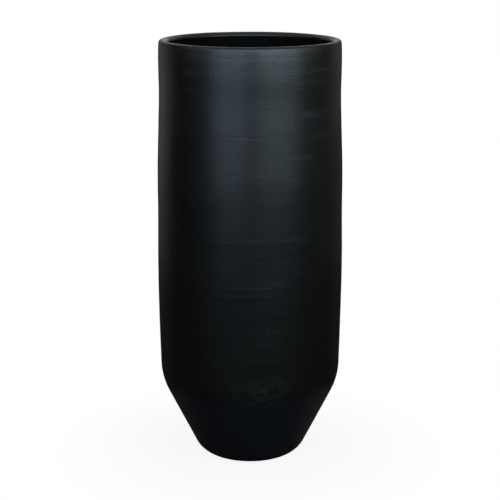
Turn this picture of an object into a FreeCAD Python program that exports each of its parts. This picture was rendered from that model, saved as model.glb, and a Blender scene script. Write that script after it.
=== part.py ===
"""Tall round planter in glass-fibre laminate, 800 mm high and 350 mm across.

Lengths are in millimetres. The origin is on the floor, at the centre of the foot, and +Z is up.
Every piece is a turned form: a closed half section of corners (radius, height), or
(radius, height, rounding), is revolved about the vertical axis.
"""
import FreeCAD, Part
import math
import os
from FreeCAD import Vector

os.makedirs("parts", exist_ok=True)

# ---- driving dimensions -------------------------------------------------------------------------
HEIGHT = 800.0                  # floor to crown of the lip

# Outer face: a rounded foot, a straight cone, a soft knee and a waved wall.
FOOT_CORNER_RADIUS = 91.5       # where the cone would meet the floor
FOOT_ROUND = 48.0
KNEE_RADIUS = 170.5             # where the cone would meet the wall
KNEE_HEIGHT = 157.7
KNEE_ROUND = 120.0
WALL_STATIONS = [               # (radius, height)
    (173.3, 280.0),
    (174.7, 380.0),             # belly, the widest place
    (173.4, 480.0),
    (173.0, 565.0),
    (170.5, 640.0),
    (168.6, 704.0),             # waist
    (169.3, 752.0),
    (169.1, 782.0),
]
JOINT_RADIUS = 168.5            # outer edge of the joint between the wall and the lip moulding
JOINT_HEIGHT = 793.5

# Laminate.
WALL_INSET = 5.0                # inner face behind the outer one, measured level
INNER_KNEE_ROUND = 70.0
INNER_FOOT_ROUND = 40.0
FLANGE_RADIUS = 46.0            # edge of the flange that turns in under the floor moulding
FLANGE_THICKNESS = 6.0

# Lip: a channel-shaped moulding that caps the wall and turns down inside it.
LIP_OUTER_CORNER_RADIUS = 167.8
LIP_OUTER_ROUND = 5.8
LIP_INNER_RADIUS = 152.5
LIP_INNER_ROUND = 9.0
LIP_SKIN = 3.2
LIP_CHANNEL_ROUND = 4.0         # inside the channel, under the crown's inner round
RETURN_BOTTOM = 762.0           # lower edge of the leg that hangs inside the mouth
SPIGOT_BOTTOM = 768.0           # lower edge of the leg that sits inside the wall
SPIGOT_CLEARANCE = 0.4

# Pads under the foot.
PAD_COUNT = 4
PAD_HEIGHT = 2.5
PAD_RADIUS = 8.0
PAD_BEVEL = 0.6
PAD_CIRCLE_RADIUS = 55.0

# Floor moulding: a dish that falls to the drain.
PAN_THICKNESS = 6.0
PAN_FALL = 2.5
PAN_GLUE_GAP = 1.2
PAN_SKIN = 4.5
PAN_RIM_HEIGHT = 36.0
PAN_BOSS_RADIUS = 25.0
PAN_BOSS_BOTTOM = 5.0

# Drain bush and its bung.
DRAIN_BORE_RADIUS = 12.0
BUSH_RADIUS = 15.0
BUSH_BOTTOM = 4.5
BUSH_FLANGE_RADIUS = 23.0
BUSH_FLANGE_THICKNESS = 2.5
GLUE_CLEARANCE = 0.1
PLUG_CLEARANCE = 0.05
PLUG_TAPER = 0.9                # how much smaller the bung is at its lower end
PLUG_FLANGE_RADIUS = 18.0
PLUG_FLANGE_THICKNESS = 3.0
PLUG_NECK_RADIUS = 4.5
PLUG_NECK_HEIGHT = 9.0
PLUG_KNOB_RADIUS = 8.5
PLUG_KNOB_HEIGHT = 8.0
PLUG_BEVEL = 1.5

# ---- worked out from these ----------------------------------------------------------------------
CONE_ANGLE = math.atan2(KNEE_HEIGHT, KNEE_RADIUS - FOOT_CORNER_RADIUS)
FLANGE_TOP = PAD_HEIGHT + FLANGE_THICKNESS
FLOOR_AT_DRAIN = FLANGE_TOP + PAN_THICKNESS
BUSH_SEAT = FLOOR_AT_DRAIN - BUSH_FLANGE_THICKNESS
# The inner face is plainer than the outer one: it follows the waist, the shallow place between
# waist and belly, and the belly.
INNER_STATIONS = [(radius - WALL_INSET, height) for radius, height in WALL_STATIONS[5:0:-2]]
INNER_TOP_RADIUS = INNER_STATIONS[0][0]
SPIGOT_RADIUS = INNER_TOP_RADIUS - SPIGOT_CLEARANCE


def cone_radius(height):
    """Radius of the outer face of the cone, before its ends are rounded."""
    return FOOT_CORNER_RADIUS + height / math.tan(CONE_ANGLE)


def rounded_corner(before, here, after, radius):
    """Arc that rounds one corner of a section, tangent to both of its sides."""
    to_before = (before - here).normalize()
    to_after = (after - here).normalize()
    half_angle = to_before.getAngle(to_after) / 2
    start = here + to_before * (radius / math.tan(half_angle))
    end = here + to_after * (radius / math.tan(half_angle))
    centre = here + (to_before + to_after).normalize() * (radius / math.sin(half_angle))
    middle = centre + (here - centre).normalize() * radius
    return start, end, Part.Arc(start, middle, end).toShape()


def section_parts(corners):
    """Arcs of a closed half section, and the straight sides as pairs of ends.

    Side number i runs from corner i - 1 to corner i.
    """
    points = [Vector(corner[0], 0, corner[1]) for corner in corners]
    arcs = []
    ends = []
    for index, corner in enumerate(corners):
        if len(corner) == 2:
            ends.append((points[index], points[index]))
            continue
        after = points[(index + 1) % len(points)]
        start, end, arc = rounded_corner(points[index - 1], points[index], after, corner[2])
        ends.append((start, end))
        arcs.append(arc)
    sides = [(ends[index - 1][1], ends[index][0]) for index in range(len(ends))]
    return arcs, sides


def lines(sides):
    """Straight edges between pairs of ends."""
    return [Part.makeLine(start, end) for start, end in sides]


def revolve(edges):
    """Turn the edges of a closed half section about the vertical axis."""
    face = Part.Face(Part.Wire(Part.__sortEdges__(edges)))
    return face.revolve(Vector(0, 0, 0), Vector(0, 0, 1), 360)


def turned(corners):
    """Solid turned from a closed half section of straight sides and arcs."""
    arcs, sides = section_parts(corners)
    return revolve(arcs + lines(sides))


def body_shell():
    """Outer moulding: flange, rounded foot, cone, knee and waved wall, up to the lip joint."""
    arcs, sides = section_parts([
        (JOINT_RADIUS, JOINT_HEIGHT),
        (INNER_TOP_RADIUS, JOINT_HEIGHT),
        *INNER_STATIONS,
        (KNEE_RADIUS - WALL_INSET, KNEE_HEIGHT, INNER_KNEE_ROUND),
        (cone_radius(FLANGE_TOP) - WALL_INSET, FLANGE_TOP, INNER_FOOT_ROUND),
        (FLANGE_RADIUS, FLANGE_TOP),
        (FLANGE_RADIUS, PAD_HEIGHT),
        (cone_radius(PAD_HEIGHT), PAD_HEIGHT, FOOT_ROUND),
        (KNEE_RADIUS, KNEE_HEIGHT, KNEE_ROUND),
        WALL_STATIONS[0],
    ])
    # One smooth curve through the stations takes the place of the two sides that would run
    # straight from the knee to the first station and on to the joint.
    knee_top, first_station = sides[-1]
    joint = Vector(JOINT_RADIUS, 0, JOINT_HEIGHT)
    lip_corner = Vector(LIP_OUTER_CORNER_RADIUS, 0, HEIGHT)
    wall = Part.BSplineCurve()
    wall.interpolate(
        Points=[knee_top] + [Vector(radius, 0, height) for radius, height in WALL_STATIONS] + [joint],
        InitialTangent=(first_station - knee_top).normalize(),
        FinalTangent=(lip_corner - joint).normalize(),
    )
    return revolve(arcs + lines(sides[1:-1]) + [wall.toShape()])


def rim_ring():
    """Lip moulding: a hollow channel that sits on the wall's top edge and lines the mouth."""
    roof = HEIGHT - LIP_SKIN
    return turned([
        (JOINT_RADIUS, JOINT_HEIGHT),
        (LIP_OUTER_CORNER_RADIUS, HEIGHT, LIP_OUTER_ROUND),
        (LIP_INNER_RADIUS, HEIGHT, LIP_INNER_ROUND),
        (LIP_INNER_RADIUS, RETURN_BOTTOM),
        (LIP_INNER_RADIUS + LIP_SKIN, RETURN_BOTTOM),
        (LIP_INNER_RADIUS + LIP_SKIN, roof, LIP_CHANNEL_ROUND),
        (SPIGOT_RADIUS - LIP_SKIN, roof),
        (SPIGOT_RADIUS - LIP_SKIN, SPIGOT_BOTTOM),
        (SPIGOT_RADIUS, SPIGOT_BOTTOM),
        (SPIGOT_RADIUS, JOINT_HEIGHT),
    ])


def base_pan():
    """Floor moulding: a dish bonded on the flange, with a boss and a seat for the drain bush."""
    glue_line = WALL_INSET + PAN_GLUE_GAP
    dish_edge = FLOOR_AT_DRAIN + PAN_FALL
    rim_radius = cone_radius(PAN_RIM_HEIGHT) - glue_line
    dish_round = INNER_FOOT_ROUND - PAN_THICKNESS - PAN_SKIN
    return turned([
        (BUSH_RADIUS + GLUE_CLEARANCE, PAN_BOSS_BOTTOM),
        (PAN_BOSS_RADIUS, PAN_BOSS_BOTTOM),
        (PAN_BOSS_RADIUS, FLANGE_TOP),
        (cone_radius(FLANGE_TOP) - glue_line, FLANGE_TOP, INNER_FOOT_ROUND),
        (rim_radius, PAN_RIM_HEIGHT),
        (rim_radius - PAN_SKIN, PAN_RIM_HEIGHT),
        (cone_radius(dish_edge) - glue_line - PAN_SKIN, dish_edge, dish_round),
        (BUSH_FLANGE_RADIUS + GLUE_CLEARANCE, FLOOR_AT_DRAIN),
        (BUSH_FLANGE_RADIUS + GLUE_CLEARANCE, BUSH_SEAT),
        (BUSH_RADIUS + GLUE_CLEARANCE, BUSH_SEAT),
    ])


def drain_bush():
    """Flanged bush that lines the drain, flush with the floor."""
    return turned([
        (DRAIN_BORE_RADIUS, BUSH_BOTTOM),
        (BUSH_RADIUS, BUSH_BOTTOM),
        (BUSH_RADIUS, BUSH_SEAT),
        (BUSH_FLANGE_RADIUS, BUSH_SEAT),
        (BUSH_FLANGE_RADIUS, FLOOR_AT_DRAIN),
        (DRAIN_BORE_RADIUS, FLOOR_AT_DRAIN),
    ])


def drain_plug():
    """Tapered bung with a flange that rests on the bush, a neck and a pull knob."""
    top_radius = DRAIN_BORE_RADIUS - PLUG_CLEARANCE
    flange_top = FLOOR_AT_DRAIN + PLUG_FLANGE_THICKNESS
    knob_bottom = flange_top + PLUG_NECK_HEIGHT
    knob_top = knob_bottom + PLUG_KNOB_HEIGHT
    return turned([
        (0, BUSH_BOTTOM),
        (top_radius - PLUG_TAPER, BUSH_BOTTOM),
        (top_radius, FLOOR_AT_DRAIN),
        (PLUG_FLANGE_RADIUS, FLOOR_AT_DRAIN),
        (PLUG_FLANGE_RADIUS, flange_top - PLUG_BEVEL),
        (PLUG_FLANGE_RADIUS - PLUG_BEVEL, flange_top),
        (PLUG_NECK_RADIUS, flange_top),
        (PLUG_NECK_RADIUS, knob_bottom),
        (PLUG_KNOB_RADIUS, knob_bottom + PLUG_BEVEL),
        (PLUG_KNOB_RADIUS, knob_top - PLUG_BEVEL),
        (PLUG_KNOB_RADIUS - PLUG_BEVEL, knob_top),
        (0, knob_top),
    ])


def foot_pad(index):
    """Stick-on pad under the foot flange, bevelled where it meets the floor."""
    pad = turned([
        (0, 0),
        (PAD_RADIUS - PAD_BEVEL, 0),
        (PAD_RADIUS, PAD_BEVEL),
        (PAD_RADIUS, PAD_HEIGHT),
        (0, PAD_HEIGHT),
    ])
    angle = 2 * math.pi * index / PAD_COUNT
    pad.translate(Vector(math.cos(angle), math.sin(angle), 0) * PAD_CIRCLE_RADIUS)
    return pad


pieces = {
    "body_shell": body_shell(),
    "rim_ring": rim_ring(),
    "base_pan": base_pan(),
    "drain_bush": drain_bush(),
    "drain_plug": drain_plug(),
}
for number in range(PAD_COUNT):
    pieces["foot_pad_%d" % (number + 1)] = foot_pad(number)

for name, shape in pieces.items():
    shape.exportStep("parts/%s.step" % name)
    print("%-12s valid %s  volume %.0f mm3" % (name, shape.isValid(), shape.Volume))
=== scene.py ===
"""Looks of the tall round planter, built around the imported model.

Lengths are in metres, in the model's own frame: origin on the floor under the foot, +Z up.
The outer moulding and the lip are remade as fine turned meshes that carry the combed relief, the
throwing rings and the slight unevenness of the real ones. The other pieces keep their CAD meshes.
"""
import math

import bpy
import numpy as np
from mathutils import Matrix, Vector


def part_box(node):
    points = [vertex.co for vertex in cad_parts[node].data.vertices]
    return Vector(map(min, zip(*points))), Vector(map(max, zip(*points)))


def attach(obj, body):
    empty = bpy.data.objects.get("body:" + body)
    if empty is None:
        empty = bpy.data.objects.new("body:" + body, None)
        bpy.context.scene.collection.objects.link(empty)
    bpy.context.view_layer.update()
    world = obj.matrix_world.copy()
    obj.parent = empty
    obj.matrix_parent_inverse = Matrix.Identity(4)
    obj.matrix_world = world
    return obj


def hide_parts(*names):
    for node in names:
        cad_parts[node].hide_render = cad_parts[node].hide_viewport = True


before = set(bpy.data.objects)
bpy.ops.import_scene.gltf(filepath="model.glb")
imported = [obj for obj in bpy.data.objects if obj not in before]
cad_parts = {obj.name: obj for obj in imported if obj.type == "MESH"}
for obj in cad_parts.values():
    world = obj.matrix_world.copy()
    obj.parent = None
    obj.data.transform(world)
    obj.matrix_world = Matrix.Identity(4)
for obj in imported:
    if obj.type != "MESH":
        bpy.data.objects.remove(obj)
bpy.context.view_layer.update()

MM = 0.001
DEGREE = math.pi / 180
FRONT = -math.pi / 2            # azimuth of the side that faces the camera
rng = np.random.default_rng(11)

# ---- section of the vessel ----------------------------------------------------------------------
# The heights of the foot, of the lip and of the joint between them come from the frame. The corners
# and stations of the outer face are the driving dimensions of the CAD model, as (radius, height).
SHELL_LOW, SHELL_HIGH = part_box("body_shell")
RING_LOW, RING_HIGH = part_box("rim_ring")
FOOT_BOTTOM = SHELL_LOW.z
JOINT_HEIGHT = SHELL_HIGH.z
CROWN_HEIGHT = RING_HIGH.z
FOOT_CORNER_RADIUS = 91.5 * MM
FOOT_ROUND = 48.0 * MM
KNEE_RADIUS = 170.5 * MM
KNEE_HEIGHT = 157.7 * MM
KNEE_ROUND = 120.0 * MM
WALL_STATIONS = [
    (173.3 * MM, 280 * MM),
    (174.7 * MM, 380 * MM),
    (173.4 * MM, 480 * MM),
    (173.0 * MM, 565 * MM),
    (170.5 * MM, 640 * MM),
    (168.6 * MM, 704 * MM),
    (169.3 * MM, 752 * MM),
    (169.1 * MM, 782 * MM),
    (168.5 * MM, JOINT_HEIGHT),
]
BELLY = 1                       # the station where the wall is widest
WAIST = 5                       # and the one where it draws in below the lip
GREATEST_RADIUS = 174.6 * MM    # nothing stands out further than this
WALL_INSET = 5.0 * MM
FLANGE_RADIUS = 46.0 * MM
FLANGE_THICKNESS = 6.0 * MM
INNER_FOOT_ROUND = 40.0 * MM
INNER_KNEE_ROUND = 70.0 * MM
INNER_TOP_RADIUS = WALL_STATIONS[WAIST][0] - WALL_INSET

LIP_OUTER_CORNER_RADIUS = 167.8 * MM
LIP_OUTER_ROUND = 5.8 * MM
LIP_INNER_RADIUS = 152.5 * MM
LIP_INNER_ROUND = 9.0 * MM
LIP_SKIN = 3.2 * MM
LIP_CHANNEL_ROUND = 4.0 * MM
SPIGOT_CLEARANCE = 0.4 * MM
SPIGOT_BOTTOM = 768.0 * MM

LIP_SUNK = 0.10 * MM            # unevenness of the crown
MOUTH_WIDENED = 0.20 * MM       # and of the mouth, over the band beside it
MOUTH_BAND = 8 * MM

COLUMNS = 128                   # round each turned mesh
SHARP_ANGLE = 32 * DEGREE
FACE_SLACK = 1 * MM             # nearer than this, a place in a section counts as on a face

# ---- relief of the combed wall -------------------------------------------------------------------
COMB_PITCH = 3.9 * MM
COMB_DEPTH = 0.26 * MM
ROWS_PER_COMB_LINE = 4
COMB_END = 147 * MM             # the combing stops here, where the knee turns under
COMB_END_WANDER = 4 * MM
COMB_END_FADE = 3 * MM          # on each side of its end
LIP_FADE = 3 * MM               # comb lines, bands and unevenness fade out over this, below the lip
RELIEF_START = (30 * MM, 60 * MM)       # heights between which it sets in above the foot
BAND_DEPTH = 0.03 * MM          # fine bands, most where the comb lines are
UNEVEN_DEPTH = 0.15 * MM        # slow unevenness of the whole wall

# Throwing rings that stand out: height, azimuth from the front (from, to), depth, half height and
# the rise from one end to the other. A negative depth is a ridge.
RINGS = [
    (0.6420, -21, 20, 0.10 * MM, 1.0 * MM, -0.6 * MM),
    (0.4195, -34, 30, 0.10 * MM, 1.0 * MM, -3.0 * MM),
    (0.4535, 14, 36, -0.06 * MM, 1.2 * MM, 1.0 * MM),
    (0.4535, -28, 36, -0.09 * MM, 4.5 * MM, 0.0),
    (0.3692, -34, 18, -0.11 * MM, 3.6 * MM, 0.0),
    (0.3524, -34, 18, -0.15 * MM, 3.4 * MM, 0.0),
    (0.7807, -24, 26, 0.10 * MM, 2.6 * MM, 0.0),
    (0.2960, -22, 20, 0.06 * MM, 1.2 * MM, 1.0 * MM),
    (0.2440, -12, 30, -0.05 * MM, 1.2 * MM, -1.0 * MM),
    (0.2120, -26, 10, -0.05 * MM, 1.3 * MM, 0.5 * MM),
    (0.1650, 3, 24, -0.07 * MM, 1.0 * MM, 0.0),
    (0.7000, 24, 66, 0.10 * MM, 1.0 * MM, 4.0 * MM),
    (0.5850, 30, 70, -0.08 * MM, 1.2 * MM, 3.0 * MM),
]
RING_FADE = (0.6, 1.1)          # full to this share of the half length, and gone at this one
EXTRA_RINGS = 40                # more of them, laid round the whole wall at random
EXTRA_RING_MARGIN = 20 * MM     # and kept this far from both ends of the combing

# Slow unevenness of the wall's front: how far it stands out, at a height.
FRONT_SWELL = [
    (0.00 * MM, 0.180),
    (-0.35 * MM, 0.380),
    (0.20 * MM, 0.430),
    (0.65 * MM, 0.465),
    (0.50 * MM, 0.500),
    (-0.35 * MM, 0.585),
    (-0.40 * MM, 0.600),
    (-0.20 * MM, 0.625),
    (0.20 * MM, 0.655),
    (0.90 * MM, 0.715),
    (0.95 * MM, 0.735),
    (0.65 * MM, 0.765),
    (0.30 * MM, 0.785),
    (0.00 * MM, JOINT_HEIGHT),
]
FRONT_SWELL_TOP_SLOPE = -0.035
FRONT_SWELL_WIDTH = (35, 60)    # full to this azimuth on each side, and gone at this one

# Patches where the weave of comb lines and upright ribs shows most, on the side that faces the
# camera: azimuth from the front, height, half width, half height, strength of lines and of ribs.
WEAVE_PATCHES = [
    (-41, 0.751, 9, 5 * MM, 0.5, 0.0),
    (-41, 0.723, 7, 5 * MM, 0.4, 0.2),
    (-19, 0.784, 4, 10 * MM, 0.5, 0.4),
    (-9, 0.783, 6, 11 * MM, 0.6, 2.4),
    (20, 0.780, 7, 17 * MM, 0.3, 3.2),
    (31, 0.782, 4, 10 * MM, 0.3, 0.3),
    (-11, 0.747, 8, 12 * MM, 0.6, 0.8),
    (16, 0.745, 8, 8 * MM, 0.5, 0.8),
    (30, 0.732, 4, 17 * MM, 0.5, 0.4),
    (46, 0.755, 10, 6 * MM, 0.9, 0.0),
    (46, 0.736, 10, 6 * MM, 1.0, 0.0),
    (-13, 0.719, 9, 7 * MM, 0.45, 0.4),
    (-9, 0.686, 5, 23 * MM, 0.2, 1.5),
    (18, 0.680, 8, 20 * MM, 0.25, 1.0),
    (38, 0.679, 5, 7 * MM, 1.5, 0.0),
    (50, 0.674, 13, 8 * MM, 1.0, 0.0),
    (48, 0.637, 14, 8 * MM, 1.0, 0.0),
    (-7, 0.638, 5, 9 * MM, 0.2, 1.4),
    (22, 0.636, 5, 10 * MM, 0.2, 1.0),
    (33, 0.604, 6, 7 * MM, 0.8, 0.0),
    (-11, 0.562, 8, 10 * MM, 0.35, 0.3),
    (5, 0.577, 6, 17 * MM, 0.3, 0.0),
    (26, 0.565, 7, 14 * MM, 0.35, 0.2),
    (14, 0.530, 9, 7 * MM, 0.4, 0.5),
    (15, 0.499, 8, 5 * MM, 0.35, 0.3),
    (-7, 0.494, 6, 4 * MM, 0.5, 0.0),
    (4, 0.460, 6, 18 * MM, 0.6, 0.3),
    (28, 0.450, 10, 9 * MM, 0.6, 0.2),
    (25, 0.418, 10, 9 * MM, 0.6, 0.0),
    (7, 0.375, 21, 22 * MM, 0.50, 0.15),
    (13, 0.365, 9, 33 * MM, 0.2, 0.5),
    (7, 0.321, 17, 7 * MM, 0.8, 0.1),
    (14, 0.292, 9, 9 * MM, 0.9, 0.6),
    (11, 0.262, 12, 9 * MM, 0.8, 0.7),
    (16, 0.233, 15, 8 * MM, 0.9, 0.3),
    (14, 0.181, 12, 19 * MM, 1.1, 0.6),
]
WEAVE_EVERYWHERE = 0.14         # strength of both between the patches
EXTRA_PATCHES = 60              # more of them, at random over the rest of the wall

# Places where the crests of a few comb lines are rubbed pale, and carry a painted glint as well:
# azimuth from the front, height, half width, half height, strength.
RUBBED_GLINT_PATCHES = [
    (-33, 0.783, 9, 4 * MM, 0.8),
    (-41, 0.752, 9, 5 * MM, 0.9),
    (-41, 0.723, 7, 3 * MM, 0.7),
    (-44, 0.679, 9, 2 * MM, 0.2),
    (-40, 0.642, 9, 2 * MM, 0.2),
    (29, 0.755, 4, 8 * MM, 0.8),
    (47, 0.757, 11, 3 * MM, 0.8),
    (47, 0.737, 10, 6 * MM, 0.8),
    (37, 0.679, 4, 6 * MM, 1.0),
    (50, 0.675, 12, 7 * MM, 0.7),
    (48, 0.638, 13, 6 * MM, 0.7),
    (33, 0.604, 7, 5 * MM, 1.2),
    (24, 0.565, 6, 9 * MM, 0.3),
    (-12, 0.562, 8, 6 * MM, 0.25),
    (-8, 0.496, 6, 3 * MM, 0.3),
]

# Places low on the wall, just above the combing's end, where its colour is paler. The columns are the
# same.
PALE_LOW_PATCHES = [
    (5, 0.170, 20, 22 * MM, 1.0),
    (9, 0.148, 13, 10 * MM, 1.0),
    (-36, 0.170, 12, 8 * MM, 0.4),
    (40, 0.172, 12, 10 * MM, 0.4),
]


def random_patches():
    """Weave patches over the wall outside the part that WEAVE_PATCHES places one by one."""
    made = []
    for _ in range(EXTRA_PATCHES):
        made.append((
            rng.uniform(65, 295),
            rng.uniform(COMB_END, JOINT_HEIGHT),
            rng.uniform(5, 20),
            rng.uniform(5, 22) * MM,
            rng.uniform(0.3, 1.0),
            rng.uniform(0.0, 1.0),
        ))
    return made


def random_rings():
    """Faint throwing rings all round the wall, with the columns of RINGS."""
    made = []
    for _ in range(EXTRA_RINGS):
        start = rng.uniform(-180, 180)
        made.append((
            rng.uniform(COMB_END + EXTRA_RING_MARGIN, JOINT_HEIGHT - EXTRA_RING_MARGIN),
            start,
            start + rng.uniform(15, 70),
            rng.choice([-1, 1]) * rng.uniform(0.01, 0.03) * MM,
            rng.uniform(0.9, 1.6) * MM,
            rng.uniform(-5, 5) * MM,
        ))
    return made


ALL_WEAVE_PATCHES = WEAVE_PATCHES + random_patches()


def smoothstep(low, high, value):
    """0 below low, 1 above high, and a smooth rise between."""
    t = np.clip((value - low) / (high - low), 0, 1)
    return t * t * (3 - 2 * t)


def smooth_curve(stations, heights, first_slope, last_slope):
    """Value at each height, on a cubic curve through the stations (value, height)."""
    value, level = (np.array(column) for column in zip(*stations))
    slope = np.gradient(value, level)
    slope[0] = first_slope
    slope[-1] = last_slope
    index = np.clip(np.searchsorted(level, heights, side="right") - 1, 0, len(level) - 2)
    gap = level[index + 1] - level[index]
    t = (heights - level[index]) / gap
    return (
        value[index] * (1 + 2 * t) * (1 - t) ** 2
        + slope[index] * gap * t * (1 - t) ** 2
        + value[index + 1] * t * t * (3 - 2 * t)
        + slope[index + 1] * gap * t * t * (t - 1)
    )


def turn_from(azimuth, place):
    """Angle from a place on the wall, in degrees from the front, to an azimuth, up to half a turn."""
    return (azimuth - FRONT - place * DEGREE + math.pi) % (2 * math.pi) - math.pi


def drift(azimuth, height, turns, wavelengths, count):
    """Smooth random pattern round a turned form, from about -1 to 1, as a sum of slanted waves."""
    total = np.zeros(np.broadcast(azimuth, height).shape)
    for _ in range(count):
        turn = rng.integers(turns[0], turns[1] + 1)
        wavelength = rng.uniform(*wavelengths)
        phase = rng.uniform(0, 2 * math.pi)
        total += np.cos(turn * azimuth + 2 * math.pi * height / wavelength + phase)
    return total / math.sqrt(count)


def ring(azimuth, height, mark):
    """One throwing ring: a soft groove over part of the way round."""
    level, start, end, depth, half_height, rise = mark
    half = (end - start) / 2 * DEGREE
    away = turn_from(azimuth, (start + end) / 2)
    centre = level + rise * away / (2 * half)
    across = np.exp(-((height - centre) / half_height) ** 2)
    full, gone = RING_FADE
    along = 1 - smoothstep(full * half, gone * half, np.abs(away))
    return depth * across * along


def nearness(azimuth, height, place, level, half_width, half_height):
    """1 at the middle of a soft patch, falling to 0 well outside it."""
    away = turn_from(azimuth, place) / (half_width * DEGREE)
    return np.exp(-(away ** 2) - ((height - level) / half_height) ** 2)


def patch_strength(soft_patches, azimuth, height):
    """Sum of soft patches (azimuth from the front, height, half width, half height, strength)."""
    total = np.zeros(np.broadcast(azimuth, height).shape)
    for *patch, share in soft_patches:
        total += share * nearness(azimuth, height, *patch)
    return total


def weave_strength(azimuth, height):
    """Strength of the comb lines and of the ribs at a place on the wall."""
    lines = np.full(np.broadcast(azimuth, height).shape, WEAVE_EVERYWHERE)
    ribs = lines.copy()
    for *patch, line_share, rib_share in ALL_WEAVE_PATCHES:
        near = nearness(azimuth, height, *patch)
        lines += line_share * near
        ribs += rib_share * near
    return lines, ribs


def comb_lines(height):
    """1 on the crest of a comb line and -1 between two of them."""
    return np.cos(2 * math.pi * height / COMB_PITCH)


def front_swell(azimuth, height):
    """How far the wall's front stands out from its smooth section."""
    level = np.clip(height, FRONT_SWELL[0][1], FRONT_SWELL[-1][1])
    aside = np.abs(turn_from(azimuth, 0)) / DEGREE
    share = 1 - smoothstep(*FRONT_SWELL_WIDTH, aside)
    return smooth_curve(FRONT_SWELL, level, 0.0, FRONT_SWELL_TOP_SLOPE) * share


def wall_relief(azimuth, height):
    """How far the wall lies behind its smooth section, in metres."""
    end = COMB_END + COMB_END_WANDER * drift(azimuth, 0, turns=(1, 9), wavelengths=(1, 2), count=6)
    combed = smoothstep(-COMB_END_FADE, COMB_END_FADE, height - end)
    below_lip = 1 - smoothstep(JOINT_HEIGHT - LIP_FADE, JOINT_HEIGHT, height)
    lines = weave_strength(azimuth, height)[0]
    relief = COMB_DEPTH * lines * -0.5 * comb_lines(height) * combed * below_lip
    bands = drift(azimuth, height, turns=(-1, 1), wavelengths=(0.012, 0.05), count=16)
    band_share = 0.2 + 1.2 * np.minimum(lines, 1)
    relief += BAND_DEPTH * bands * band_share * combed * below_lip
    slow = drift(azimuth, height, turns=(-2, 2), wavelengths=(0.1, 0.6), count=10)
    relief += UNEVEN_DEPTH * slow * below_lip
    relief -= front_swell(azimuth, height)
    for mark in RINGS + random_rings():
        relief += ring(azimuth, height, mark) * combed
    return relief


# ---- turned meshes -------------------------------------------------------------------------------
def add_object(name, data):
    """New object in the scene, for a mesh, a lamp or a camera."""
    made = bpy.data.objects.new(name, data)
    bpy.context.scene.collection.objects.link(made)
    return made


def arc_corner(before, here, after, radius, count):
    """Points of the arc that rounds a corner of a section, tangent to both of its sides."""
    before, here, after = (np.array(point, float) for point in (before, here, after))
    to_before = (before - here) / np.linalg.norm(before - here)
    to_after = (after - here) / np.linalg.norm(after - here)
    half_angle = math.acos(np.clip(to_before @ to_after, -1, 1)) / 2
    middle = (to_before + to_after) / np.linalg.norm(to_before + to_after)
    centre = here + middle * radius / math.sin(half_angle)
    start = here + to_before * radius / math.tan(half_angle) - centre
    end = here + to_after * radius / math.tan(half_angle) - centre
    turn = math.pi - 2 * half_angle
    steps = np.linspace(0, 1, count)[:, None]
    return centre + (np.sin((1 - steps) * turn) * start + np.sin(steps * turn) * end) / math.sin(turn)


def spread(start, end, count):
    """Points on a straight side, without its ends."""
    steps = np.linspace(0, 1, count + 2)[1:-1, None]
    return np.array(start) + (np.array(end) - np.array(start)) * steps


def quads_round(rows, columns):
    """Faces of a closed grid of points, in which the last row and column join the first."""
    row = np.arange(rows)[:, None]
    column = np.arange(columns)[None, :]
    next_row = (row + 1) % rows
    next_column = (column + 1) % columns
    corners = np.broadcast_arrays(
        row * columns + column,
        row * columns + next_column,
        next_row * columns + next_column,
        next_row * columns + column,
    )
    return np.stack(corners, axis=-1).reshape(-1, 4)


def marks_for_material(azimuth, height):
    """What the material reads at each point: three strengths, and the comb lines' crests."""
    return {
        "ribs": weave_strength(azimuth, height)[1],
        "rubbed_glint": patch_strength(RUBBED_GLINT_PATCHES, azimuth, height),
        "pale_low": patch_strength(PALE_LOW_PATCHES, azimuth, height),
        "crest": np.maximum(comb_lines(height), 0),
    }


def turned_mesh(name, section, moved, finishes, inside):
    """Closed mesh turned from a closed section of (radius, height) points.

    moved(azimuth, radius, height) gives the radius and height after relief and unevenness. Of the
    two finishes, the second goes on the faces whose place in the section inside(radius, height)
    is true of.
    """
    azimuth = np.arange(COLUMNS)[None, :] * 2 * math.pi / COLUMNS
    radius = np.repeat(section[:, :1], COLUMNS, axis=1)
    height = np.repeat(section[:, 1:], COLUMNS, axis=1)
    marks = marks_for_material(azimuth, height)
    radius, height = moved(azimuth, radius, height)
    points = np.stack([radius * np.cos(azimuth), radius * np.sin(azimuth), height], axis=-1)
    mesh = bpy.data.meshes.new(name)
    mesh.from_pydata(points.reshape(-1, 3), [], quads_round(len(section), COLUMNS))
    for finish in finishes:
        mesh.materials.append(finish)
    middles = (section + np.roll(section, -1, axis=0)) / 2
    slots = np.repeat(inside(middles[:, 0], middles[:, 1]).astype(int), COLUMNS)
    mesh.polygons.foreach_set("material_index", slots)
    for label, values in marks.items():
        mesh.attributes.new(label, "FLOAT", "POINT").data.foreach_set("value", values.ravel())
    mesh.set_sharp_from_angle(angle=SHARP_ANGLE)
    mesh.update()
    return add_object(name, mesh)


def cone_radius(height):
    """Radius of the outer face of the cone, before its ends are rounded."""
    return FOOT_CORNER_RADIUS + height * (KNEE_RADIUS - FOOT_CORNER_RADIUS) / KNEE_HEIGHT


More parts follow.
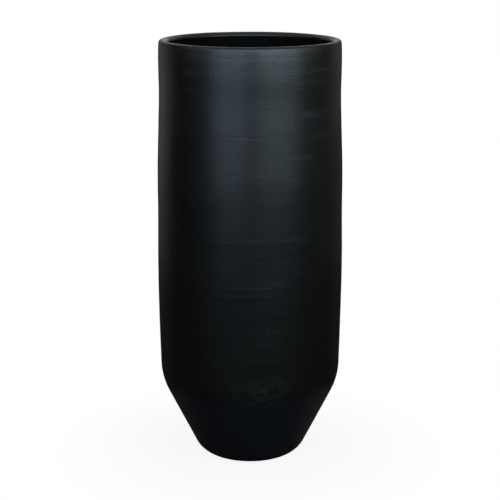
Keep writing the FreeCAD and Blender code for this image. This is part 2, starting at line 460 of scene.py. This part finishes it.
def shell_section():
    """Section of the outer moulding, counter-clockwise from the foot flange up the outer face."""
    foot_corner = (cone_radius(FOOT_BOTTOM), FOOT_BOTTOM)
    knee_corner = (KNEE_RADIUS, KNEE_HEIGHT)
    foot = arc_corner((FLANGE_RADIUS, FOOT_BOTTOM), foot_corner, knee_corner, FOOT_ROUND, count=20)
    knee = arc_corner(foot_corner, knee_corner, WALL_STATIONS[0], KNEE_ROUND, count=24)
    knee_top = tuple(knee[-1])
    row_gap = COMB_PITCH / ROWS_PER_COMB_LINE
    heights = np.arange(knee_top[1] + row_gap, JOINT_HEIGHT, row_gap)
    first_slope = (WALL_STATIONS[0][0] - knee_top[0]) / (WALL_STATIONS[0][1] - knee_top[1])
    last_slope = (LIP_OUTER_CORNER_RADIUS - WALL_STATIONS[-1][0]) / (CROWN_HEIGHT - JOINT_HEIGHT)
    radii = smooth_curve([knee_top] + WALL_STATIONS, heights, first_slope, last_slope)
    flange_top = FOOT_BOTTOM + FLANGE_THICKNESS
    flange_edge = (FLANGE_RADIUS, flange_top)
    inner_knee = (KNEE_RADIUS - WALL_INSET, KNEE_HEIGHT)
    inner_foot = (cone_radius(flange_top) - WALL_INSET, flange_top)
    inner_wall = [(radius - WALL_INSET, height) for radius, height in WALL_STATIONS[WAIST:0:-2]]
    return np.vstack([
        [(FLANGE_RADIUS, FOOT_BOTTOM)],
        foot,
        spread(foot[-1], knee[0], count=24),
        knee,
        np.column_stack([radii, heights]),
        [WALL_STATIONS[-1], (INNER_TOP_RADIUS, JOINT_HEIGHT)],
        inner_wall,
        arc_corner(inner_wall[-1], inner_knee, inner_foot, INNER_KNEE_ROUND, count=8),
        arc_corner(inner_knee, inner_foot, flange_edge, INNER_FOOT_ROUND, count=10),
        [flange_edge],
    ])


def shell_outside(radius, height):
    """True on the shell's outer face, which lies further out than the middle of its skin."""
    return radius > np.minimum(cone_radius(height), KNEE_RADIUS) - 0.6 * WALL_INSET


def shell_inside(radius, height):
    """True on the shell's inner face and on the top of its flange."""
    return ~shell_outside(radius, height) & (height > FOOT_BOTTOM + FLANGE_THICKNESS / 2)


def shell_moved(azimuth, radius, height):
    """The outer face of the shell takes the relief; its inner face and foot stay as they are."""
    moved = radius - wall_relief(azimuth, height) * smoothstep(*RELIEF_START, height)
    moved = np.minimum(moved, GREATEST_RADIUS)
    return np.where(shell_outside(radius, height), moved, radius), height


def lip_section():
    """Section of the lip moulding, a channel with its open side down."""
    roof = CROWN_HEIGHT - LIP_SKIN
    spigot = INNER_TOP_RADIUS - SPIGOT_CLEARANCE
    joint = (WALL_STATIONS[-1][0], JOINT_HEIGHT)
    outer_corner = (LIP_OUTER_CORNER_RADIUS, CROWN_HEIGHT)
    inner_corner = (LIP_INNER_RADIUS, CROWN_HEIGHT)
    leg_end = (LIP_INNER_RADIUS, RING_LOW.z)
    inner = arc_corner(outer_corner, inner_corner, leg_end, LIP_INNER_ROUND, count=16)
    channel_start = (LIP_INNER_RADIUS + LIP_SKIN, RING_LOW.z)
    channel_corner = (LIP_INNER_RADIUS + LIP_SKIN, roof)
    channel_end = (spigot - LIP_SKIN, roof)
    return np.vstack([
        [joint],
        arc_corner(joint, outer_corner, inner_corner, LIP_OUTER_ROUND, count=14),
        inner,
        spread(inner[-1], leg_end, count=6),
        [leg_end, channel_start],
        arc_corner(channel_start, channel_corner, channel_end, LIP_CHANNEL_ROUND, count=5),
        [channel_end],
        [(spigot - LIP_SKIN, SPIGOT_BOTTOM), (spigot, SPIGOT_BOTTOM), (spigot, JOINT_HEIGHT)],
    ])


def lip_inside(radius, height):
    """True on the leg that lines the mouth, below the rounded crown, and in the channel."""
    on_leg = radius < LIP_INNER_RADIUS + FACE_SLACK
    below_crown = height < CROWN_HEIGHT - 0.8 * LIP_INNER_ROUND
    below_joint = height < JOINT_HEIGHT - FACE_SLACK
    on_roof = np.abs(height - CROWN_HEIGHT + LIP_SKIN) < 0.1 * FACE_SLACK
    return (on_leg & below_crown) | below_joint | on_roof


def lip_moved(azimuth, radius, height):
    """The crown and the mouth of the lip are slightly uneven, as hand-finished ones are."""
    crown = smoothstep(JOINT_HEIGHT, CROWN_HEIGHT, height)
    mouth = smoothstep(MOUTH_BAND, 0.0, radius - LIP_INNER_RADIUS)
    sunk = LIP_SUNK * (1 + drift(azimuth, 0, turns=(2, 9), wavelengths=(1, 2), count=8)) * crown
    widened = MOUTH_WIDENED * (1 + drift(azimuth, 0, turns=(2, 7), wavelengths=(1, 2), count=6)) * mouth
    return radius + widened * crown, height - np.maximum(sunk, 0)


# ---- nodes of the materials ----------------------------------------------------------------------
def new_material(name):
    """Node material; returns it with its tree, its Principled shader and the place in the object."""
    material = bpy.data.materials.new(name)
    material.use_nodes = True
    tree = material.node_tree
    return material, tree, tree.nodes["Principled BSDF"], node(tree, "TexCoord").outputs["Object"]


def node(tree, kind, inputs=None, **settings):
    """Add a node, set its properties, and set or link its inputs."""
    made = tree.nodes.new("ShaderNode" + kind)
    for key, value in settings.items():
        setattr(made, key, value)
    for key, value in (inputs or {}).items():
        if isinstance(value, bpy.types.NodeSocket):
            tree.links.new(value, made.inputs[key])
        else:
            made.inputs[key].default_value = value
    return made


def math_node(tree, operation, *values):
    """Result of a Math node."""
    made = node(tree, "Math", dict(enumerate(values)), operation=operation)
    return made.outputs[0]


def product(tree, first, *others):
    """Product of two or more values."""
    result = first
    for value in others:
        result = math_node(tree, "MULTIPLY", result, value)
    return result


def attribute(tree, name):
    """Value that the mesh's points keep under a name."""
    return node(tree, "Attribute", attribute_name=name).outputs["Fac"]


def noise(tree, place, scale, detail=2, roughness=0.5):
    """Value of a noise texture, about 0.5 on average. The scale is one number, or one for each axis."""
    if isinstance(scale, tuple):
        place = node(tree, "Mapping", {"Vector": place, "Scale": scale}).outputs["Vector"]
        scale = 1.0
    inputs = {"Vector": place, "Scale": scale, "Detail": detail, "Roughness": roughness}
    return node(tree, "TexNoise", inputs).outputs["Fac"]


def remap(tree, value, low, high, to_low=0.0, to_high=1.0):
    """Map a range of a value smoothly onto another range."""
    inputs = {"Value": value, "From Min": low, "From Max": high, "To Min": to_low, "To Max": to_high}
    return node(tree, "MapRange", inputs, interpolation_type="SMOOTHSTEP").outputs["Result"]


def colour_mix(tree, factor, first, second):
    """Mix of two colours."""
    made = node(tree, "Mix", {0: factor}, data_type="RGBA")
    for socket, value in ((6, first), (7, second)):
        if isinstance(value, bpy.types.NodeSocket):
            tree.links.new(value, made.inputs[socket])
        else:
            made.inputs[socket].default_value = (*value, 1)
    return made.outputs[2]


def bump(tree, height, distance, normal=None):
    """Normal of a bump from a height; distance is the height in metres that 1 stands for."""
    inputs = {"Height": height, "Distance": distance, "Strength": 1.0}
    if normal is not None:
        inputs["Normal"] = normal
    return node(tree, "Bump", inputs).outputs["Normal"]


# ---- finish of the outer moulding ----------------------------------------------------------------
RIB_DEPTH = 0.12 * MM
RIB_LIMIT = 1.3                 # the ribs of a strong patch stand no higher than this many depths
RIB_WAVER = 6.0                 # in radians of the ribs' own wave
STREAK_DEPTH = 0.085 * MM
SHELL_GRAIN = 0.02 * MM
TORN_EDGE = 32 * MM             # the finish's edge at the end of the combing wanders over this
TORN_EDGE_FADE = 6 * MM
WALL_COLOURS = ((0.0011, 0.0009, 0.0006), (0.0018, 0.0014, 0.0010))
CONE_COLOURS = ((0.0008, 0.0012, 0.0029), (0.0011, 0.0016, 0.0037))
PALE_LOW_COLOUR = (0.0056, 0.0056, 0.0042)
# rubbed pale crests, which also carry a painted glint
RUBBED_GLINT_COLOUR = (0.022, 0.022, 0.022)
# painted highlight on the weave, where a rib's crest crosses a comb line's crest
KNOT_GLINT_COLOUR = (0.070, 0.074, 0.068)     # where a rib crosses a comb line
KNOT_GLINT_SHARE = 0.5
SPECK_COLOUR = (0.12, 0.12, 0.12)
SPECK_SHARE = 0.3
CONE_ROUGHNESS = 0.55
WALL_ROUGHNESS = (0.37, 0.39)
RIB_ROUGHNESS = 0.04            # more of it on the crest of a rib, and less beside it


def combed_share(tree, place, height):
    """1 on the combed wall and 0 on the smooth cone, with a torn edge between them."""
    wander = noise(tree, place, (45, 45, 90), 5, 0.75)
    end = math_node(tree, "MULTIPLY_ADD", wander, TORN_EDGE, COMB_END - TORN_EDGE / 2)
    above_end = math_node(tree, "SUBTRACT", height, end)
    return remap(tree, above_end, -TORN_EDGE_FADE, TORN_EDGE_FADE)


def cloth_ribs(tree, place, azimuth):
    """Upright ribs that waver, as far apart as the comb lines: 1 on a crest, -1 between two."""
    count = round(2 * math.pi * WALL_STATIONS[BELLY][0] / COMB_PITCH)
    waver = product(tree, noise(tree, place, (14, 14, 5)), RIB_WAVER)
    return math_node(tree, "COSINE", math_node(tree, "MULTIPLY_ADD", azimuth, count, waver))


def shell_normal(tree, place, combed, rib_height):
    """Ribs, the fine streaks of the comb, and a grain over the whole shell."""
    streak = product(tree, noise(tree, place, (12, 12, 330), 3, 0.6), combed)
    grain = noise(tree, place, 1400.0, 3, 0.6)
    normal = bump(tree, rib_height, RIB_DEPTH)
    normal = bump(tree, streak, STREAK_DEPTH, normal)
    return bump(tree, grain, SHELL_GRAIN, normal)


def shell_colour(tree, place, combed, torn, patch, rib):
    """Clouded black, paler low down, with painted highlights where ribs cross lines and on rubbed
    crests.
    """
    cloud = noise(tree, place, 9.0, 4, 0.6)
    pale_low = math_node(tree, "MINIMUM", product(tree, attribute(tree, "pale_low"), torn), 1.0)
    wall = colour_mix(tree, pale_low, colour_mix(tree, cloud, *WALL_COLOURS), PALE_LOW_COLOUR)
    colour = colour_mix(tree, combed, colour_mix(tree, cloud, *CONE_COLOURS), wall)
    crest = attribute(tree, "crest")
    rib_crest = math_node(tree, "MAXIMUM", rib, 0.0)
    # painted highlight where the crests of ribs and comb lines cross
    knot_glint = math_node(tree, "MINIMUM", product(tree, rib_crest, crest, patch, KNOT_GLINT_SHARE), 1.0)
    colour = colour_mix(tree, knot_glint, colour, KNOT_GLINT_COLOUR)
    # rubbed pale crests with a painted glint on them
    rubbed_glint = math_node(tree, "MINIMUM", product(tree, attribute(tree, "rubbed_glint"), torn, crest), 1.0)
    colour = colour_mix(tree, rubbed_glint, colour, RUBBED_GLINT_COLOUR)
    cells = node(tree, "TexVoronoi", {"Vector": place, "Scale": 11.0}).outputs["Distance"]
    speck = product(tree, remap(tree, cells, 0.014, 0.007), SPECK_SHARE)
    return colour_mix(tree, speck, colour, SPECK_COLOUR)


def shell_roughness(tree, place, combed, rib_height):
    """Satin on the wall, a little uneven, and duller on the cone."""
    wall = remap(tree, noise(tree, place, (10, 10, 25)), 0.3, 0.7, *WALL_ROUGHNESS)
    wall = math_node(tree, "MULTIPLY_ADD", rib_height, RIB_ROUGHNESS, wall)
    return node(tree, "Mix", {0: combed, 2: CONE_ROUGHNESS, 3: wall}, data_type="FLOAT").outputs[0]


def shell_gelcoat():
    """Near-black matt gelcoat: combed and crossed above the knee, smooth on the cone."""
    material, tree, shader, place = new_material("shell_gelcoat")
    x, y, height = node(tree, "SeparateXYZ", {"Vector": place}).outputs
    combed = combed_share(tree, place, height)
    rib = cloth_ribs(tree, place, math_node(tree, "ARCTAN2", y, x))
    torn = remap(tree, noise(tree, place, (60, 60, 90), 3), 0.35, 0.60, 0.25, 1.0)
    patch = product(tree, attribute(tree, "ribs"), torn, combed)
    rib_height = product(tree, rib, math_node(tree, "MINIMUM", patch, RIB_LIMIT))
    tree.links.new(shell_normal(tree, place, combed, rib_height), shader.inputs["Normal"])
    tree.links.new(shell_colour(tree, place, combed, torn, patch, rib), shader.inputs["Base Color"])
    tree.links.new(shell_roughness(tree, place, combed, rib_height), shader.inputs["Roughness"])
    shader.inputs["Specular IOR Level"].default_value = 0.45
    return material


# ---- finishes of the other pieces ----------------------------------------------------------------
def lip_gelcoat():
    """Near-black satin gelcoat, smooth, with a faint brushed unevenness."""
    material, tree, shader, place = new_material("lip_gelcoat")
    cloud = noise(tree, place, 14.0, 4, 0.6)
    colour = colour_mix(tree, cloud, (0.0018, 0.0018, 0.0018), (0.0028, 0.0028, 0.0028))
    tree.links.new(colour, shader.inputs["Base Color"])
    rough = remap(tree, noise(tree, place, 60.0, 3), 0.3, 0.7, 0.34, 0.46)
    tree.links.new(rough, shader.inputs["Roughness"])
    normal = bump(tree, noise(tree, place, 160.0, 3), 0.08 * MM)
    normal = bump(tree, noise(tree, place, 1400.0, 2), 0.015 * MM, normal)
    tree.links.new(normal, shader.inputs["Normal"])
    shader.inputs["Specular IOR Level"].default_value = 0.5
    return material


def glass_mat(tree, place, scale, crossed_scale):
    """Strands of glass mat that run two ways."""
    strands = noise(tree, place, scale, 4, 0.7)
    crossed = noise(tree, place, crossed_scale, 4, 0.7)
    return math_node(tree, "MAXIMUM", strands, crossed)


def inner_laminate():
    """Near-black flow coat on the laminate's inner side: dull, with the mat's strands just showing."""
    material, tree, shader, place = new_material("inner_laminate")
    mat = glass_mat(tree, place, (70, 70, 240), (240, 240, 70))
    strand = remap(tree, mat, 0.5, 0.75)
    colour = colour_mix(tree, strand, (0.0005, 0.0006, 0.0008), (0.0015, 0.0017, 0.0021))
    tree.links.new(colour, shader.inputs["Base Color"])
    tree.links.new(bump(tree, mat, 0.3 * MM), shader.inputs["Normal"])
    shader.inputs["Roughness"].default_value = 0.75
    shader.inputs["Specular IOR Level"].default_value = 0.06
    return material


def floor_laminate():
    """Dark brushed resin over glass mat: strands show through the resin."""
    material, tree, shader, place = new_material("floor_laminate")
    mat = glass_mat(tree, place, (90, 260, 90), (260, 90, 90))
    strand = remap(tree, mat, 0.5, 0.75)
    colour = colour_mix(tree, strand, (0.010, 0.010, 0.011), (0.030, 0.030, 0.031))
    tree.links.new(colour, shader.inputs["Base Color"])
    tree.links.new(bump(tree, mat, 0.4 * MM), shader.inputs["Normal"])
    shader.inputs["Roughness"].default_value = 0.42
    return material


def moulded(name, dark, light, roughness, grain_scale, grain_height):
    """Black plastic or rubber, from a dark grey to a lighter one, with a fine moulded grain."""
    material, tree, shader, place = new_material(name)
    colour = colour_mix(tree, noise(tree, place, 120.0, 3), (dark,) * 3, (light,) * 3)
    tree.links.new(colour, shader.inputs["Base Color"])
    tree.links.new(bump(tree, noise(tree, place, grain_scale), grain_height), shader.inputs["Normal"])
    shader.inputs["Roughness"].default_value = roughness
    return material


def finish_node(name, material):
    """Give a CAD node its material in every slot."""
    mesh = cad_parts[name].data
    if not mesh.materials:
        mesh.materials.append(material)
    for index in range(len(mesh.materials)):
        mesh.materials[index] = material


# ---- pieces --------------------------------------------------------------------------------------
inner_finish = inner_laminate()
shell_finishes = [shell_gelcoat(), inner_finish]
shell_skin = turned_mesh("shell_skin", shell_section(), shell_moved, shell_finishes, shell_inside)
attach(shell_skin, "vessel")
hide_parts("body_shell")

lip_finishes = [lip_gelcoat(), inner_finish]
lip_skin = turned_mesh("lip_skin", lip_section(), lip_moved, lip_finishes, lip_inside)
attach(lip_skin, "vessel")
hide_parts("rim_ring")

finish_node("base_pan", floor_laminate())
finish_node("drain_bush", moulded("bush_plastic", 0.020, 0.028, 0.45, 900.0, 0.05 * MM))
finish_node("drain_plug", moulded("plug_rubber", 0.015, 0.024, 0.65, 500.0, 0.06 * MM))
pad_rubber = moulded("pad_rubber", 0.024, 0.036, 0.75, 700.0, 0.08 * MM)
for name in sorted(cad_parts):
    if name.startswith("foot_pad"):
        finish_node(name, pad_rubber)

# ---- studio --------------------------------------------------------------------------------------
CAMERA_PLACE = (0, -2.699, 1.040)
CAMERA_PITCH = 13.31 * DEGREE   # below level
CAMERA_LENS = 105.05            # mm, and so is the width of the sensor
CAMERA_SENSOR = 36
TENT_RADIUS = 1.75
TENT_HEIGHT = 2.1
TENT_RADIANCE = 0.014
# Softboxes in front: azimuth from the front, distance, width, height, bottom edge, colour, radiance.
SOFTBOXES = [
    ("softbox_left", -24, 1.6, 1.08, 1.20, 0.62, (0.76, 1.01, 1.26), 3.1),
    ("softbox_left_skirt", -25, 1.6, 0.94, 0.20, 0.42, (0.76, 1.01, 1.26), 1.0),
    ("softbox_right", 32, 1.6, 1.44, 1.17, 0.65, (0.77, 1.01, 1.14), 4.2),
    ("softbox_right_skirt", 32, 1.6, 1.20, 0.20, 0.45, (0.77, 1.01, 1.14), 0.25),
]
# Cards along the tent that only gloss sees: azimuth from the front (from, to), heights, radiance.
CARDS = [
    ("card_front_gap", -8, 11, 1.05, 1.9, 2.0),
    ("card_left_wing", -80, -52, 0.9, 1.9, 0.8),
    ("card_right_wing", 58, 88, 0.8, 1.9, 0.95),
    ("card_left_back", -150, -112, 0.28, 1.1, 0.29),
    ("card_left_back_low", -150, -112, 0.0, 0.28, 0.16),
    ("card_right_side", 70, 112, 0.1, 0.9, 0.09),
    ("card_right_back", 112, 150, 0.5, 1.1, 0.23),
    ("card_right_back_low", 112, 150, 0.0, 0.5, 0.08),
    ("card_behind", 168, 192, 0.78, 1.3, 1.2),
    ("card_behind_high", 138, 222, 1.1, 2.0, 0.6),
]
CARD_RADIUS = TENT_RADIUS - 0.05
CARD_STEP = 5                   # degrees of a card's bend to each of its faces
ROUND_CARD_CORNERS = 64
# Cards on the floor beside the vessel, for the edges of the cone: azimuth from the front (from,
# to), distance (from, to), radiance.
FLOOR_WINGS = [
    ("floor_wing_left", -165, -72, 0.11, 0.33, 0.052),
    ("floor_wing_right", 72, 165, 0.11, 0.33, 0.088),
]
FLOOR_WING_HEIGHT = 1 * MM
FLOOR_CARD_HEIGHT = 0.5 * MM
FLOOR_CARD_RADIANCE = 0.024
CEILING_CARD_RADIANCE = 0.45
FLOOR_HALF = 12.0
SHADOW_EDGES = (0.12, 0.45)     # distances from the axis between which the ground's shadow clears
GROUND_GLOW = (0.90, 1.0)       # share of plain glow in the ground's white inside and outside them
AMBIENT = 0.25                  # radiance of the world for everything that doesn't see it white
WHITE = (1, 1, 1, 1)


def empty_material(name):
    """Material with an empty node tree; returns both."""
    material = bpy.data.materials.new(name)
    material.use_nodes = True
    material.node_tree.nodes.clear()
    return material, material.node_tree


def emission_material(name, radiance):
    """Plain white emission."""
    material, tree = empty_material(name)
    glow = node(tree, "Emission", {"Color": WHITE, "Strength": radiance})
    node(tree, "OutputMaterial", {"Surface": glow.outputs[0]})
    return material


def add_card(name, points, faces, radiance):
    """Glowing card that shows only in reflections."""
    mesh = bpy.data.meshes.new(name)
    mesh.from_pydata(points, [], faces)
    mesh.materials.append(emission_material(name, radiance))
    card = add_object(name, mesh)
    card.visible_camera = False
    card.visible_diffuse = False
    card.visible_transmission = False
    card.visible_volume_scatter = False
    card.visible_shadow = False


def bent_card(name, start, end, first_edge, second_edge, radiance):
    """Card bent round the vessel between two edges, each a (distance, height)."""
    steps = max(2, round(abs(end - start) / CARD_STEP))
    angles = FRONT + np.linspace(start, end, steps + 1) * DEGREE
    points = [
        (distance * math.cos(angle), distance * math.sin(angle), height)
        for distance, height in (first_edge, second_edge)
        for angle in angles
    ]
    across = len(angles)
    faces = [(i, i + 1, across + i + 1, across + i) for i in range(steps)]
    add_card(name, points, faces, radiance)


def round_card(name, radius, height, radiance):
    """Round card that lies level over the vessel's axis."""
    angles = [2 * math.pi * i / ROUND_CARD_CORNERS for i in range(ROUND_CARD_CORNERS)]
    points = [(radius * math.cos(angle), radius * math.sin(angle), height) for angle in angles]
    add_card(name, points, [tuple(range(ROUND_CARD_CORNERS))], radiance)


def softbox(name, azimuth, distance, width, height, bottom, colour, radiance):
    """Upright area lamp that faces the vessel."""
    data = bpy.data.lights.new(name, "AREA")
    data.shape = "RECTANGLE"
    data.size = width
    data.size_y = height
    data.color = colour
    data.energy = radiance * math.pi * width * height
    lamp = add_object(name, data)
    angle = FRONT + azimuth * DEGREE
    lamp.location = (distance * math.cos(angle), distance * math.sin(angle), bottom + height / 2)
    lamp.rotation_euler = (math.pi / 2, 0, azimuth * DEGREE)
    lamp.visible_camera = False


def shown_white(tree):
    """1 for camera, glossy and transmission rays, which see a white ground; 0 for the rest."""
    path = node(tree, "LightPath").outputs
    seen = math_node(tree, "MAXIMUM", path["Is Camera Ray"], path["Is Glossy Ray"])
    return math_node(tree, "MAXIMUM", seen, path["Is Transmission Ray"])


def floor_material():
    """Pale matt ground, shown white, but less so near the vessel, which keeps a faint shadow."""
    material, tree = empty_material("floor")
    matt = node(tree, "BsdfDiffuse", {"Color": (0.9, 0.9, 0.9, 1)})
    glow = node(tree, "Emission", {"Color": WHITE, "Strength": 1.0})
    place = node(tree, "TexCoord").outputs["Object"]
    away = node(tree, "VectorMath", {0: place}, operation="LENGTH").outputs["Value"]
    share = product(tree, shown_white(tree), remap(tree, away, *SHADOW_EDGES, *GROUND_GLOW))
    mixed = node(tree, "MixShader", {0: share, 1: matt.outputs[0], 2: glow.outputs[0]})
    node(tree, "OutputMaterial", {"Surface": mixed.outputs[0]})
    return material


def studio_floor():
    """Pale plain floor."""
    half = FLOOR_HALF
    mesh = bpy.data.meshes.new("floor")
    corners = [(-half, -half, 0), (half, -half, 0), (half, half, 0), (-half, half, 0)]
    mesh.from_pydata(corners, [], [(0, 1, 2, 3)])
    mesh.materials.append(floor_material())
    add_object("floor", mesh)


def studio_world():
    """Even grey light, with a white ground for what the camera and the gloss see."""
    world = bpy.data.worlds.new("studio")
    bpy.context.scene.world = world
    world.use_nodes = True
    tree = world.node_tree
    strength = math_node(tree, "MULTIPLY_ADD", shown_white(tree), 1 - AMBIENT, AMBIENT)
    background = tree.nodes["Background"]
    background.inputs["Color"].default_value = WHITE
    tree.links.new(strength, background.inputs["Strength"])


def add_camera():
    """Camera at the photograph's place and angle."""
    data = bpy.data.cameras.new("camera")
    data.lens = CAMERA_LENS
    data.sensor_width = CAMERA_SENSOR
    camera = add_object("camera", data)
    camera.location = CAMERA_PLACE
    camera.rotation_euler = (math.pi / 2 - CAMERA_PITCH, 0, 0)
    bpy.context.scene.camera = camera


studio_floor()
studio_world()
for settings in SOFTBOXES:
    softbox(*settings)
bent_card("tent", -180, 180, (TENT_RADIUS, 0.0), (TENT_RADIUS, TENT_HEIGHT), TENT_RADIANCE)
for name, start, end, bottom, top, radiance in CARDS:
    bent_card(name, start, end, (CARD_RADIUS, bottom), (CARD_RADIUS, top), radiance)
for name, start, end, near, far, radiance in FLOOR_WINGS:
    bent_card(name, start, end, (near, FLOOR_WING_HEIGHT), (far, FLOOR_WING_HEIGHT), radiance)
round_card("floor_card", TENT_RADIUS, FLOOR_CARD_HEIGHT, FLOOR_CARD_RADIANCE)
round_card("ceiling_card", TENT_RADIUS, TENT_HEIGHT, CEILING_CARD_RADIANCE)
add_camera()
bpy.context.scene.view_settings.view_transform = "Standard"
